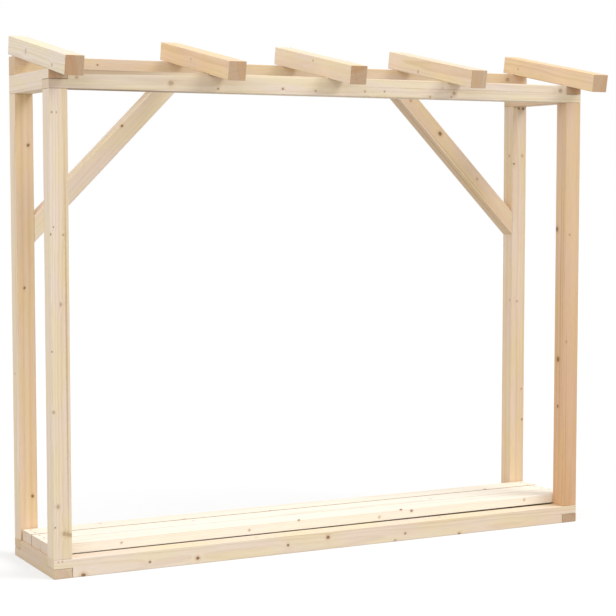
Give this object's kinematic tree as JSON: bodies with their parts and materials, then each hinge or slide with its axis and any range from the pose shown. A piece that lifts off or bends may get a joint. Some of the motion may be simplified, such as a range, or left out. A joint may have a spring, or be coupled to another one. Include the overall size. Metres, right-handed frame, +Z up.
{
  "type": "log store frame",
  "caption": "Open softwood frame of a garden log store: halved sills, plank floor, corner posts, back braces, and rafters sloping down to the front.",
  "frame": {"origin": "on the ground, under the middle of the overall box", "axes": "+X along the front from left to right, +Y from the low open front to the back, +Z up"},
  "size_m": [2.3, 0.6524, 1.9743],
  "materials": {
    "frame_timber": "planed, bare",
    "roof_timber": "planed, bare",
    "floor_board": "planed, bare"
  },
  "bodies": {
    "root": {"front_sill": "frame_timber", "rear_sill": "frame_timber", "left_sill": "frame_timber", "right_sill": "frame_timber", "front_left_post": "frame_timber", "front_right_post": "frame_timber", "rear_left_post": "frame_timber", "rear_right_post": "frame_timber", "front_beam": "frame_timber", "left_cross_beam": "frame_timber", "right_cross_beam": "frame_timber", "rear_plate": "frame_timber", "rafter_1": "roof_timber", "rafter_2": "roof_timber", "rafter_3": "roof_timber", "rafter_4": "roof_timber", "rafter_5": "roof_timber", "left_brace": "roof_timber", "right_brace": "roof_timber", "floor_board_1": "floor_board", "floor_board_2": "floor_board", "floor_board_3": "floor_board"}
  },
  "joints": []
}
